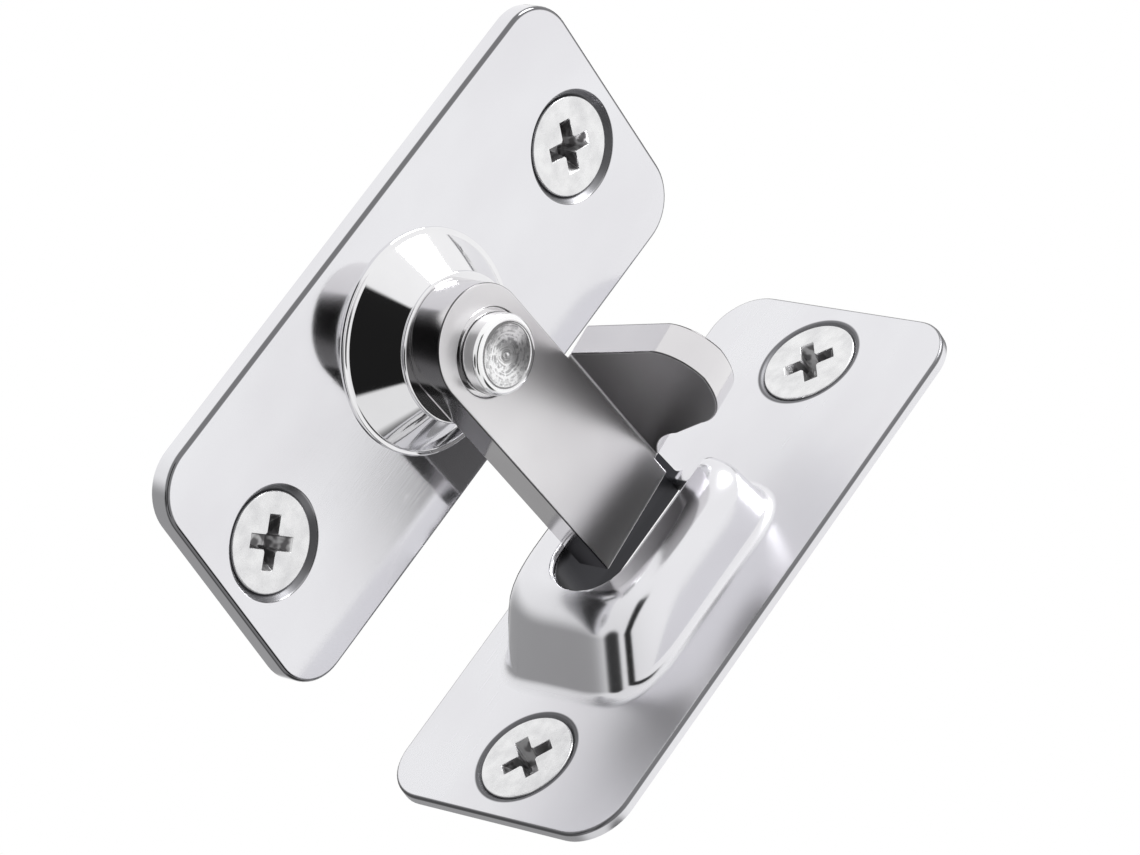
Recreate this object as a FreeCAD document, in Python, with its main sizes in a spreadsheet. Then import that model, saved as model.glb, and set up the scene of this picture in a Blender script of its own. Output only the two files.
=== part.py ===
import FreeCAD, Part
import math
import os
import Sketcher
from FreeCAD import Placement, Rotation, Vector

# Right-angle toggle bolt latch. A flat bolt plate carries a pivot post, and a
# swing bar with a bent-out thumb tab turns on a rivet through the post. The
# bar's tip drops into the horseshoe pocket of a keeper plate that stands at a
# right angle to the bolt plate. Four countersunk screws hold the two plates.
#
# Frame: origin at the middle of the bolt plate's back face. +Z runs up the
# plates' length, -Y points out of the bolt plate's face and +X runs from the
# pivot towards the keeper. Millimetres and degrees.

SIZES = [
    # plates
    ("plate_length", 55.0), ("plate_width", 25.0), ("plate_corner", 4.2),
    ("bolt_thick", 1.8), ("keeper_thick", 1.0), ("plate_edge_round", 0.35),
    ("keeper_edge_round", 0.25), ("hole_end_distance", 6.0),
    # pivot post and washer
    ("post_foot_radius", 9.15), ("post_lip_high", 0.45), ("post_lip_width", 0.75),
    ("post_top_radius", 5.6), ("post_high", 3.5), ("post_top_round", 0.5),
    ("washer_overhang", 0.35), ("washer_thick", 0.5), ("washer_edge_radius", 0.3),
    # rivet
    ("rivet_radius", 1.9), ("rivet_fit", 0.05), ("rivet_head_radius", 3.3),
    ("rivet_head_high", 1.9), ("rivet_head_bevel", 0.5), ("rivet_tail_radius", 2.6),
    ("rivet_tail_deep", 0.7), ("rivet_tail_sink", 0.1), ("head_sink_gap", 0.3),
    ("head_sink_deep", 0.25),
    # swing bar
    ("bar_thick", 3.3), ("bar_half_width", 4.9), ("bar_end_shift", 1.0),
    ("bar_reach", 22.9), ("bar_lift", 6.0),
    # thumb tab
    ("tab_thick", 2.9), ("tab_high", 14.4), ("tab_root_near", 7.2),
    ("tab_keeper_gap", 0.2), ("tab_stand_off", 0.3), ("tab_bend_round", 2.4),
    ("tab_back_lean", 2.4), ("tab_back_high", 10.6), ("tab_back_radius", 3.4),
    ("tab_peak_inset", 0.4), ("tab_crown_radius", 8.0), ("tab_crown_inset", 6.4),
    ("tab_crown_drop", 5.1), ("tab_waist_inset", 4.1), ("tab_waist_high", 5.0),
    ("tab_foot_radius", 8.0),
    # keeper pocket and its place about the bar
    ("keeper_face_gap", 3.58), ("slot_back_gap", 0.65), ("slot_front_gap", 3.45),
    ("slot_foot_gap", 1.3), ("slot_foot_wall", 1.9), ("slot_side_wall", 4.0),
    ("pocket_shift", 1.15), ("pocket_high", 5.8), ("foot_hole_gap", 2.0),
    ("foot_ramp", 4.5), ("side_spread", 0.6), ("top_spread", 0.8),
    ("foot_corner", 4.2), ("crest_up", 7.2), ("crest_corner", 4.2),
    ("crest_round", 2.2),
    # screws
    ("screw_length", 10.0), ("screw_head_radius", 4.1), ("screw_rim", 0.3),
    ("screw_shank_radius", 2.1), ("screw_tip_length", 3.4), ("screw_point_radius", 0.25),
    ("thread_pitch", 1.4), ("thread_deep", 0.5), ("thread_land", 0.25),
    ("thread_cut_past", 0.1), ("thread_turns", 4.0), ("recess_reach", 2.25),
    ("recess_arm", 0.6), ("recess_deep", 2.0), ("recess_floor_reach", 1.0),
    ("recess_floor_arm", 0.4), ("bolt_sink_gap", 0.6), ("keeper_sink_gap", 0.3),
    ("lower_bolt_turn", 37.0), ("upper_bolt_turn", 65.0),
    ("lower_keeper_turn", 50.0), ("upper_keeper_turn", 40.0),
]

# Sizes that follow from the ones above.
DERIVED = [
    # the stack on the bolt plate, out along -Y
    ("washer_radius", "post_top_radius + washer_overhang"),
    ("washer_back", "bolt_thick + post_high"),
    ("bar_back", "washer_back + washer_thick"),
    ("bar_front", "bar_back + bar_thick"),
    ("bar_bore", "rivet_radius + rivet_fit"),
    ("head_sink_radius", "rivet_head_radius + head_sink_gap"),
    ("rivet_head_back", "bar_front - head_sink_deep"),
    ("rivet_tail_slope", "(rivet_tail_radius - rivet_radius) / rivet_tail_deep"),
    ("rivet_tail_face", "rivet_tail_radius - rivet_tail_slope * rivet_tail_sink"),
    ("flange_out", "bar_half_width + tab_stand_off + tab_thick"),
    # screws and their countersinks
    ("hole_reach", "plate_length / 2 - hole_end_distance"),
    ("bolt_sink_radius", "screw_head_radius + bolt_sink_gap"),
    ("keeper_sink_radius", "screw_head_radius + keeper_sink_gap"),
    ("bolt_head_deep", "bolt_sink_gap - screw_rim"),
    ("keeper_head_deep", "keeper_sink_gap - screw_rim"),
    ("head_cone_high", "screw_head_radius - screw_shank_radius"),
    # the keeper's pocket between its lower screw and the bar
    ("foot_low", "hole_reach - keeper_sink_radius - foot_hole_gap"),
    ("crest_low", "foot_low - foot_ramp"),
    ("slot_low", "crest_low - slot_foot_wall"),
    ("slot_half_width", "(bar_thick + slot_back_gap + slot_front_gap) / 2"),
    ("crest_half_width", "slot_half_width + slot_side_wall"),
    ("foot_half_width", "crest_half_width + side_spread"),
    ("foot_up", "crest_up + top_spread"),
    ("foot_slope", "foot_ramp / pocket_high"),
    ("side_slope", "side_spread / pocket_high"),
    ("top_slope", "top_spread / pocket_high"),
    ("foot_wall", "keeper_thick * sqrt(1 + foot_slope * foot_slope)"),
    ("side_wall", "keeper_thick * sqrt(1 + side_slope * side_slope)"),
    ("top_wall", "keeper_thick * sqrt(1 + top_slope * top_slope)"),
    # the keeper's place: clear of the bar's swing, its slot about the bar
    ("bar_swing_reach", "sqrt(bar_reach * bar_reach + bar_half_width * bar_half_width)"),
    ("keeper_face_reach", "bar_swing_reach + keeper_face_gap"),
    ("keeper_middle_out", "bar_back - slot_back_gap + slot_half_width + pocket_shift"),
    ("keeper_rise", "slot_low - bar_half_width - slot_foot_gap"),
    # the thumb tab, which stops short of the pocket's crest
    ("tab_root_far", "keeper_face_reach - pocket_high - tab_keeper_gap"),
    ("tab_peak_place", "tab_root_near + tab_peak_inset"),
    ("tab_crown_place", "tab_root_far - tab_crown_inset"),
    ("tab_waist_place", "tab_root_far - tab_waist_inset"),
]

TRIAL_CELL = "D1"  # a free cell that works out one expression at a time
SLACK = 1e-4       # how far two places may differ and still be the same
LEAST_CUT = 1e-3   # a cut that takes less than this volume has missed
ENDS = (("lower", "-hole_reach"), ("upper", "hole_reach"))  # the two holes of a plate

doc = FreeCAD.newDocument("ToggleBoltLatch")
sheet = doc.addObject("Spreadsheet::Sheet", "Sizes")
alias_row = {}


def fill_sheet():
    """Write every size, then the ones worked out from them, one per row."""
    for row, (name, value) in enumerate(SIZES + DERIVED, start=1):
        alias_row[name] = row
        text = repr(value) if isinstance(value, float) else "=" + value
        sheet.set(f"A{row}", name.replace("_", " "))
        sheet.set(f"B{row}", text)
        sheet.setAlias(f"B{row}", name)
    doc.recompute()


def size(name):
    """The present value of one cell."""
    return float(sheet.get(f"B{alias_row[name]}"))


def words(expression):
    """An expression in cell names, written the way other objects read it."""
    names = sorted(alias_row, key=len, reverse=True)
    out, at = "", 0
    while at < len(expression):
        hit = next((n for n in names if expression.startswith(n, at)), None)
        out += f"Sizes.{hit}" if hit else expression[at]
        at += len(hit) if hit else 1
    return out


def value_of(expression):
    """The number that an expression in cell names comes to."""
    sheet.set(TRIAL_CELL, "=" + expression)
    sheet.recompute()
    return float(sheet.get(TRIAL_CELL))


def new_body(label):
    body = doc.addObject("PartDesign::Body", label)
    body.Label = label
    return body


def origin_plane(body, role):
    return next(f for f in body.Origin.OriginFeatures if f.Role == role)


def new_sketch(body, name, role, offset=None):
    """A sketch on one of the body's own origin planes, moved along its normal."""
    sketch = body.newObject("Sketcher::SketchObject", name)
    sketch.AttachmentSupport = [(origin_plane(body, role), "")]
    sketch.MapMode = "FlatFace"
    if offset:
        sketch.setExpression(".AttachmentOffset.Base.z", words(offset))
    return sketch


def pin(sketch, geo, end, across, along):
    """Hold one point at two distances from the sketch's origin."""
    for kind, text in (("DistanceX", across), ("DistanceY", along)):
        number = value_of(text)
        if abs(number) < SLACK:
            target = -2 if kind == "DistanceX" else -1
            sketch.addConstraint(Sketcher.Constraint("PointOnObject", geo, end, target))
            continue
        index = sketch.addConstraint(Sketcher.Constraint(kind, -1, 1, geo, end, number))
        sketch.setExpression(f"Constraints[{index}]", words(text))


def outline(sketch, points, arcs=None):
    """A closed outline through named points; arcs gives radius and side by run.

    A positive side bows the run to the right of its direction."""
    arcs = arcs or {}
    spots = [Vector(value_of(a), value_of(b), 0) for a, b in points]
    count = len(spots)
    ends = []
    for i, start in enumerate(spots):
        stop = spots[(i + 1) % count]
        ends.append((1, 2))
        if i not in arcs:
            sketch.addGeometry(Part.LineSegment(start, stop))
            continue
        radius, side = value_of(arcs[i][0]), arcs[i][1]
        chord = stop - start
        right = Vector(chord.y, -chord.x, 0).normalize()
        half = chord.Length / 2
        rise = radius - math.sqrt(max(radius * radius - half * half, 0.0))
        bulge = (start + stop) * 0.5 + right * (rise * side)
        if side > 0:
            sketch.addGeometry(Part.Arc(start, bulge, stop))
        else:
            sketch.addGeometry(Part.Arc(stop, bulge, start))
            ends[i] = (2, 1)
    for i in range(count):
        after = (i + 1) % count
        sketch.addConstraint(Sketcher.Constraint("Coincident", i, ends[i][1], after, ends[after][0]))
    for i, (a, b) in enumerate(points):
        pin(sketch, i, ends[i][0], a, b)
    for i, (radius, side) in arcs.items():
        index = sketch.addConstraint(Sketcher.Constraint("Radius", i, value_of(radius)))
        sketch.setExpression(f"Constraints[{index}]", words(radius))


def circle(sketch, radius, across="0", along="0"):
    centre = Vector(value_of(across), value_of(along), 0)
    geo = sketch.addGeometry(Part.Circle(centre, Vector(0, 0, 1), value_of(radius)))
    pin(sketch, geo, 3, across, along)
    index = sketch.addConstraint(Sketcher.Constraint("Radius", geo, value_of(radius)))
    sketch.setExpression(f"Constraints[{index}]", words(radius))


def rounded_outline(sketch, half_width, low, high, corner, middle="0"):
    """A rectangle with round corners, as wide to each side of its middle line."""
    right, left = f"{middle} + {half_width}", f"{middle} - ({half_width})"
    bottom, top = f"-({low})", f"{high}"
    points = [
        (f"{right} - ({corner})", bottom), (right, f"{bottom} + {corner}"),
        (right, f"{top} - ({corner})"), (f"{right} - ({corner})", top),
        (f"{left} + {corner}", top), (left, f"{top} - ({corner})"),
        (left, f"{bottom} + {corner}"), (f"{left} + {corner}", bottom),
    ]
    outline(sketch, points, {0: (corner, 1), 2: (corner, 1), 4: (corner, 1), 6: (corner, 1)})


def must_cut(body, before, name):
    """Stop if a cut has left the body's volume as it was."""
    if body.Shape.Volume > before - LEAST_CUT:
        raise RuntimeError(f"{name} cuts nothing")


def pad(body, sketch, name, length):
    feature = body.newObject("PartDesign::Pad", name)
    feature.Profile = sketch
    feature.setExpression("Length", words(length))
    doc.recompute()


def pocket(body, sketch, name, length):
    """A cut along its sketch's normal."""
    before = body.Shape.Volume
    feature = body.newObject("PartDesign::Pocket", name)
    feature.Profile = sketch
    feature.setExpression("Length", words(length))
    feature.Reversed = True
    doc.recompute()
    must_cut(body, before, name)


def turn(body, sketch, name, cut=False):
    """A full turn of a profile about its sketch's vertical axis."""
    before = body.Shape.Volume if cut else 0.0
    feature = body.newObject("PartDesign::Groove" if cut else "PartDesign::Revolution", name)
    feature.Profile = sketch
    feature.ReferenceAxis = (sketch, ["V_Axis"])
    feature.Angle = 360.0
    doc.recompute()
    if cut:
        must_cut(body, before, name)


def loft(body, sketches, name, cut=False):
    """A straight-walled loft, added to the body or cut from it."""
    before = body.Shape.Volume
    feature = body.newObject("PartDesign::SubtractiveLoft" if cut else "PartDesign::AdditiveLoft", name)
    feature.Profile = sketches[0]
    feature.Sections = sketches[1:]
    feature.Ruled = True
    doc.recompute()
    if cut:
        must_cut(body, before, name)


def round_edges(body, name, radius, wanted):
    """Round the edges of the body so far that the test picks out."""
    base = body.Tip
    picked = [f"Edge{i}" for i, edge in enumerate(base.Shape.Edges, start=1) if wanted(edge)]
    if not picked:
        raise RuntimeError(f"{name} finds no edges")
    feature = body.newObject("PartDesign::Fillet", name)
    feature.Base = (base, picked)
    feature.setExpression("Radius", words(radius))
    doc.recompute()


def place(body, x="0", y="0", z="0"):
    for axis, text in (("x", x), ("y", y), ("z", z)):
        body.setExpression(f".Placement.Base.{axis}", words(text))


def screw_holes(body, sink_radius, thick, role, face, back):
    """Two through holes whose countersinks take the screws' cone heads.

    The face and the back are heights along the sketch plane's normal."""
    for word, along in ENDS:
        name = f"{body.Label}_{word}"
        wide = new_sketch(body, f"{name}_sink_face", role, face)
        circle(wide, sink_radius, "0", along)
        small = new_sketch(body, f"{name}_sink_back", role, back)
        circle(small, f"{sink_radius} - {thick}", "0", along)
        loft(body, [wide, small], f"{name}_countersink", cut=True)


def lies_at(edge, axis, where):
    """True for an edge that lies wholly at one height of an axis."""
    box = edge.BoundBox
    low, high = (box.XMin, box.XMax) if axis == "x" else (box.YMin, box.YMax)
    return abs(low - where) < SLACK and abs(high - where) < SLACK


def make_bolt_plate():
    body = new_body("bolt_plate")
    face = new_sketch(body, "bolt_plate_outline", "XZ_Plane")
    rounded_outline(face, "plate_width / 2", "plate_length / 2", "plate_length / 2", "plate_corner")
    pad(body, face, "bolt_plate_blank", "bolt_thick")
    front = -size("bolt_thick")
    round_edges(body, "bolt_plate_edge", "plate_edge_round", lambda e: lies_at(e, "y", front))
    screw_holes(body, "bolt_sink_radius", "bolt_thick", "XZ_Plane", "bolt_thick", "0")
    bore = new_sketch(body, "rivet_bore_outline", "XY_Plane")
    outline(bore, [
        ("0", "0"), ("rivet_tail_radius", "0"), ("rivet_radius", "-rivet_tail_deep"),
        ("rivet_radius", "-bolt_thick"), ("0", "-bolt_thick")])
    turn(body, bore, "rivet_bore", cut=True)


def make_pivot_post():
    body = new_body("pivot_post")
    half = new_sketch(body, "post_profile", "XY_Plane")
    outline(half, [
        ("rivet_radius", "0"), ("post_foot_radius", "0"), ("post_foot_radius", "-post_lip_high / 2"),
        ("post_foot_radius - post_lip_high / 2", "-post_lip_high"),
        ("post_foot_radius - post_lip_width", "-post_lip_high"),
        ("post_top_radius", "-post_high"), ("rivet_radius", "-post_high")],
        {2: ("post_lip_high / 2", -1)})
    turn(body, half, "post_turning")
    top = -size("post_high")
    rim = size("post_top_radius")
    round_edges(body, "post_top_edge", "post_top_round",
                lambda e: lies_at(e, "y", top) and e.BoundBox.XMax > rim - SLACK)
    place(body, y="-bolt_thick")


def make_friction_washer():
    body = new_body("friction_washer")
    half = new_sketch(body, "washer_profile", "XY_Plane")
    outline(half, [
        ("rivet_radius", "0"), ("washer_radius", "0"), ("washer_radius", "-washer_thick"),
        ("rivet_radius", "-washer_thick")], {1: ("washer_edge_radius", -1)})
    turn(body, half, "washer_turning")
    place(body, y="-washer_back")


def make_pivot_rivet():
    body = new_body("pivot_rivet")
    half = new_sketch(body, "rivet_profile", "XY_Plane")
    outline(half, [
        ("0", "-rivet_tail_sink"), ("rivet_tail_face", "-rivet_tail_sink"),
        ("rivet_radius", "-rivet_tail_deep"), ("rivet_radius", "-rivet_head_back"),
        ("rivet_head_radius", "-rivet_head_back"),
        ("rivet_head_radius", "-bar_front - rivet_head_high + rivet_head_bevel"),
        ("rivet_head_radius - rivet_head_bevel", "-bar_front - rivet_head_high"),
        ("0", "-bar_front - rivet_head_high")])
    turn(body, half, "rivet_turning")


def make_swing_bar():
    body = new_body("swing_bar")
    flat = new_sketch(body, "bar_outline", "XZ_Plane")
    outline(flat, [
        ("-bar_end_shift", "-bar_half_width"), ("bar_reach", "-bar_half_width"),
        ("bar_reach", "bar_half_width"), ("tab_root_far", "bar_half_width"),
        ("tab_root_far", "flange_out"), ("tab_root_near", "flange_out"),
        ("tab_root_near", "bar_half_width"), ("-bar_end_shift", "bar_half_width"),
        ("-bar_end_shift - bar_half_width", "0")],
        {7: ("bar_half_width", 1), 8: ("bar_half_width", 1)})
    pad(body, flat, "bar_blank", "bar_thick")
    side = new_sketch(body, "tab_outline", "XY_Plane", "bar_half_width + tab_stand_off")
    inside = "-bar_thick / 2"
    outline(side, [
        ("tab_root_near", inside), ("tab_root_near", "-bar_thick"),
        ("tab_root_near - tab_back_lean", "-bar_thick - tab_back_high"),
        ("tab_peak_place", "-bar_thick - tab_high"),
        ("tab_crown_place", "-bar_thick - tab_high + tab_crown_drop"),
        ("tab_waist_place", "-bar_thick - tab_waist_high"),
        ("tab_root_far", "-bar_thick"), ("tab_root_far", inside)],
        {2: ("tab_back_radius", 1), 3: ("tab_crown_radius", 1), 5: ("tab_foot_radius", -1)})
    pad(body, side, "thumb_tab", "tab_thick")
    outer = size("flange_out")
    round_edges(body, "tab_bend", "tab_bend_round",
                lambda e: lies_at(e, "y", 0.0) and e.BoundBox.ZMin > outer - SLACK)
    bore = new_sketch(body, "bar_bore_outline", "XZ_Plane")
    circle(bore, "bar_bore")
    pocket(body, bore, "bar_bore_cut", "bar_thick")
    sink = new_sketch(body, "head_sink_outline", "XZ_Plane", "bar_thick - head_sink_deep")
    circle(sink, "head_sink_radius")
    pocket(body, sink, "head_sink_cut", "head_sink_deep")
    place(body, y="-bar_back")
    body.Placement.Rotation = Rotation(Vector(0, -1, 0), size("bar_lift"))
    body.setExpression(".Placement.Rotation.Angle", words("bar_lift"))


def make_keeper_plate():
    """A thin plate with a hollow drawn pocket, slotted from its +Z end."""
    body = new_body("keeper_plate")
    flat = new_sketch(body, "keeper_outline", "YZ_Plane")
    rounded_outline(flat, "plate_width / 2", "plate_length / 2", "plate_length / 2", "plate_corner")
    pad(body, flat, "keeper_blank", "keeper_thick")
    round_edges(body, "keeper_edge", "keeper_edge_round", lambda e: lies_at(e, "x", 0.0))

    foot = new_sketch(body, "pocket_foot", "YZ_Plane")
    pocket_outline(foot, "foot_half_width", "foot_low", "foot_up", "foot_corner")
    crest = new_sketch(body, "pocket_crest", "YZ_Plane", "-pocket_high")
    pocket_outline(crest, "crest_half_width", "crest_low", "crest_up", "crest_corner")
    loft(body, [foot, crest], "pocket_outside")
    high = -size("pocket_high")
    round_edges(body, "pocket_crest_edge", "crest_round", lambda e: lies_at(e, "x", high))

    # The inside keeps one sheet's thickness from the outside, so its outlines
    # are the outside's at the same heights, drawn in by each wall's own share.
    inner_foot = new_sketch(body, "pocket_inner_foot", "YZ_Plane", "keeper_thick")
    pocket_outline(
        inner_foot,
        "foot_half_width + side_slope * keeper_thick - side_wall",
        "foot_low + foot_slope * keeper_thick - foot_wall",
        "foot_up + top_slope * keeper_thick - top_wall",
        "foot_corner - keeper_thick / 2")
    inner_crest = new_sketch(body, "pocket_inner_crest", "YZ_Plane", "keeper_thick - pocket_high")
    pocket_outline(
        inner_crest,
        "crest_half_width + side_slope * keeper_thick - side_wall",
        "crest_low + foot_slope * keeper_thick - foot_wall",
        "crest_up + top_slope * keeper_thick - top_wall",
        "crest_corner - keeper_thick / 2")
    loft(body, [inner_foot, inner_crest], "pocket_inside", cut=True)
    roof = size("keeper_thick") - size("pocket_high")
    round_edges(body, "pocket_inner_edge", "crest_round - keeper_thick",
                lambda e: lies_at(e, "x", roof))

    slot = new_sketch(body, "slot_outline", "YZ_Plane", "-pocket_high - keeper_thick")
    turn_up = "slot_half_width - slot_low"
    outline(slot, [
        ("pocket_shift - slot_half_width", "foot_up + keeper_thick"),
        ("pocket_shift - slot_half_width", turn_up),
        ("pocket_shift", "-slot_low"),
        ("pocket_shift + slot_half_width", turn_up),
        ("pocket_shift + slot_half_width", "foot_up + keeper_thick")],
        {1: ("slot_half_width", 1), 2: ("slot_half_width", 1)})
    pocket(body, slot, "slot_cut", "pocket_high + keeper_thick")
    screw_holes(body, "keeper_sink_radius", "keeper_thick", "YZ_Plane", "0", "keeper_thick")
    place(body, "keeper_face_reach", "-keeper_middle_out", "keeper_rise")


def make_screw(label):
    """A countersunk self-tapping screw, head up along its own +Z."""
    body = new_body(label)
    half = new_sketch(body, f"{label}_profile", "XZ_Plane")
    outline(half, [
        ("0", "0"), ("screw_head_radius", "0"), ("screw_head_radius", "-screw_rim"),
        ("screw_shank_radius", "-screw_rim - head_cone_high"),
        ("screw_shank_radius", "screw_tip_length - screw_length"),
        ("screw_point_radius", "-screw_length"), ("0", "-screw_length")])
    turn(body, half, f"{label}_turning")

    tooth = new_sketch(body, f"{label}_thread_profile", "XZ_Plane")
    start = "-screw_rim - head_cone_high - thread_pitch / 2"
    outline(tooth, [
        ("screw_shank_radius + thread_cut_past", f"{start} + thread_pitch / 2 - thread_land / 2"),
        ("screw_shank_radius - thread_deep", f"{start} + thread_pitch / 4"),
        ("screw_shank_radius - thread_deep", f"{start} - thread_pitch / 4"),
        ("screw_shank_radius + thread_cut_past", f"{start} - thread_pitch / 2 + thread_land / 2")])
    turn(body, tooth, f"{label}_thread_groove", cut=True)
    row = body.newObject("PartDesign::LinearPattern", f"{label}_thread")
    row.Originals = [body.Tip]
    row.Direction = (half, ["V_Axis"])
    row.Reversed = True
    row.setExpression("Length", words("thread_pitch * (thread_turns - 1)"))
    row.setExpression("Occurrences", words("thread_turns"))
    body.Tip = row
    doc.recompute()

    cross_mouth = new_sketch(body, f"{label}_recess_mouth", "XY_Plane")
    cross(cross_mouth, "recess_reach", "recess_arm")
    cross_floor = new_sketch(body, f"{label}_recess_floor", "XY_Plane", "-recess_deep")
    cross(cross_floor, "recess_floor_reach", "recess_floor_arm")
    loft(body, [cross_mouth, cross_floor], f"{label}_recess", cut=True)
    return body


def cross(sketch, reach, arm):
    """The outline of a four-armed cross about the sketch's origin."""
    corners = []
    for quarter in range(4):
        for along, across in ((reach, f"-({arm})"), (reach, arm), (arm, arm)):
            spot = (along, across)
            for _ in range(quarter):
                spot = (f"-({spot[1]})", spot[0])
            corners.append(spot)
    outline(sketch, corners)


def pocket_outline(sketch, half_width, low, up, corner):
    """A rounded outline about the pocket's own middle line."""
    rounded_outline(sketch, half_width, low, up, corner, "pocket_shift")


def make_screws():
    """One screw in each of the four plate holes, each stopped at its own turn."""
    for word, along in ENDS:
        screw = make_screw(f"{word}_bolt_screw")
        stop = Rotation(Vector(0, 0, 1), size(f"{word}_bolt_turn"))
        screw.Placement.Rotation = Rotation(Vector(1, 0, 0), 90) * stop
        place(screw, y="-bolt_thick + bolt_head_deep", z=along)
        screw = make_screw(f"{word}_keeper_screw")
        stop = Rotation(Vector(0, 0, 1), size(f"{word}_keeper_turn"))
        screw.Placement.Rotation = Rotation(Vector(0, 1, 0), -90) * stop
        place(screw, "keeper_face_reach + keeper_head_deep", "-keeper_middle_out",
              f"keeper_rise + ({along})")


fill_sheet()
make_bolt_plate()
make_pivot_post()
make_friction_washer()
make_pivot_rivet()
make_swing_bar()
make_keeper_plate()
make_screws()
doc.recompute()
for obj in doc.Objects:
    if "Invalid" in obj.State or "Error" in obj.State:
        raise RuntimeError(f"{obj.Name} failed: {obj.State}")
os.makedirs("parts", exist_ok=True)
for body in [o for o in doc.Objects if o.TypeId == "PartDesign::Body"]:
    shape = body.Shape
    if shape.isNull() or not shape.isValid():
        raise RuntimeError(f"{body.Label} is not a sound solid")
    shape.exportStep(f"parts/{body.Label}.step")
    print(body.Label, len(shape.Solids), round(shape.Volume, 2))
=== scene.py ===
import math

import bpy
from mathutils import Matrix, Vector


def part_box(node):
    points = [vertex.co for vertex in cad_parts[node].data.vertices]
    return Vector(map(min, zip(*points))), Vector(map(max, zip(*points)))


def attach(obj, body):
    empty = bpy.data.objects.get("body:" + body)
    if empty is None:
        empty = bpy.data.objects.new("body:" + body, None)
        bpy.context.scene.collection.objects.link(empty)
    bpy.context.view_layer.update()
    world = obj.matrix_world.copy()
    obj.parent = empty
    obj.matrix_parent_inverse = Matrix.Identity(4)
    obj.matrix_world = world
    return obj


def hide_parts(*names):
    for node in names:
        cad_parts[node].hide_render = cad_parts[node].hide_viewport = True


# The looks of a right-angle toggle bolt latch: a bolt plate with its pivot
# post, washer and rivet, a swing bar with a bent-out thumb tab, a keeper plate
# with a drawn and slotted pocket, and four countersunk screws. Sizes are in
# millimetres, and MM turns them into the metres that Blender is given.

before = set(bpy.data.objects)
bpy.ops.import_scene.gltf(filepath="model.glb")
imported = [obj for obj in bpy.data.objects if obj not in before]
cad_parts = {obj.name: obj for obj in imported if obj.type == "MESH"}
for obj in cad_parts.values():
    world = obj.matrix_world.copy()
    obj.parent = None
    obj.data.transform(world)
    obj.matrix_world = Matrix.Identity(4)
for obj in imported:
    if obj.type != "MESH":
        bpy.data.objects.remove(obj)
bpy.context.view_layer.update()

MM = 0.001
SAME_SPOT = 1e-6     # metres, under which two outline points are one
FINE_TURN, FINEST_TURN, TOOL_TURN = 160, 240, 96     # sides of turned pieces and cutters
SOFT_ANGLE = math.radians(32)
BUMP_DEPTH = 0.00002     # metres


# ---------------------------------------------------------------- modelling

def settle():
    """Back to object mode with nothing selected."""
    if bpy.context.mode != "OBJECT":
        bpy.ops.object.mode_set(mode="OBJECT")
    bpy.ops.object.select_all(action="DESELECT")


def take(piece):
    """Make one piece the only selected and active one."""
    settle()
    piece.select_set(True)
    bpy.context.view_layer.objects.active = piece


def fix_place(piece):
    """Put the piece's place, turn and scale into its mesh."""
    take(piece)
    bpy.ops.object.transform_apply(location=True, rotation=True, scale=True)


def block(name, low, high):
    """A box between two corners, in millimetres."""
    settle()
    low, high = Vector(low) * MM, Vector(high) * MM
    bpy.ops.mesh.primitive_cube_add(size=1, location=(low + high) / 2, scale=high - low)
    piece = bpy.context.active_object
    piece.name = name
    fix_place(piece)
    return piece


def choose(piece, kind, test):
    """Select, in edit mode, what the test accepts by its corners in millimetres."""
    take(piece)
    bpy.ops.object.mode_set(mode="EDIT")
    bpy.ops.mesh.select_mode(type=kind)
    bpy.ops.mesh.select_all(action="DESELECT")
    bpy.ops.object.mode_set(mode="OBJECT")
    spots = [v.co / MM for v in piece.data.vertices]
    if kind == "VERT":
        for vertex, spot in zip(piece.data.vertices, spots):
            vertex.select = test([spot])
    else:
        items = piece.data.edges if kind == "EDGE" else piece.data.polygons
        for item in items:
            item.select = test([spots[i] for i in item.vertices])
    bpy.ops.object.mode_set(mode="EDIT")


def round_edges(piece, radius, steps, test, shape=0.5):
    """Round the edges that the test accepts; a shape over 0.5 is squarer than a circle."""
    choose(piece, "EDGE", test)
    bpy.ops.mesh.bevel(offset=radius * MM, segments=steps, affect="EDGES", profile=shape)
    settle()


def at(corners, axis, where):
    """True if all the corners lie at one height of an axis."""
    return all(abs(c[axis] - where) < 0.01 for c in corners)


def along(corners, axis):
    """True for an edge that runs along one axis only."""
    span = corners[0] - corners[1]
    return abs(span[axis]) > 0.1 and sum(abs(s) for s in span) - abs(span[axis]) < 0.01


def boolean(piece, tool, operation):
    """Join or cut the piece with a tool, which is used up."""
    take(piece)
    step = piece.modifiers.new(operation.lower(), "BOOLEAN")
    step.operation = operation
    step.object = tool
    step.solver = "EXACT"
    bpy.ops.object.modifier_apply(modifier=step.name)
    bpy.data.objects.remove(tool, do_unlink=True)


def turned(name, rings, sides=FINE_TURN):
    """A lathe-turned solid about +Z, from its lowest ring up: (radius, height)."""
    settle()
    radius, height = rings[0]
    bpy.ops.mesh.primitive_circle_add(
        vertices=sides, radius=radius * MM, fill_type="NGON", location=(0, 0, height * MM))
    piece = bpy.context.active_object
    piece.name = name
    fix_place(piece)
    bpy.ops.object.mode_set(mode="EDIT")
    bpy.ops.mesh.select_all(action="SELECT")
    for next_radius, next_height in rings[1:]:
        bpy.ops.mesh.extrude_region_move(
            TRANSFORM_OT_translate={"value": (0, 0, (next_height - height) * MM)})
        grow = next_radius / radius
        bpy.ops.transform.resize(value=(grow, grow, 1), center_override=(0, 0, next_height * MM))
        radius, height = next_radius, next_height
    bpy.ops.mesh.select_all(action="SELECT")
    bpy.ops.mesh.normals_make_consistent(inside=False)
    settle()
    return piece


def stand(piece, turn, place):
    """Turn a piece and carry it to its place, in millimetres."""
    piece.matrix_world = Matrix.Translation(Vector(place) * MM) @ turn
    fix_place(piece)


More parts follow.
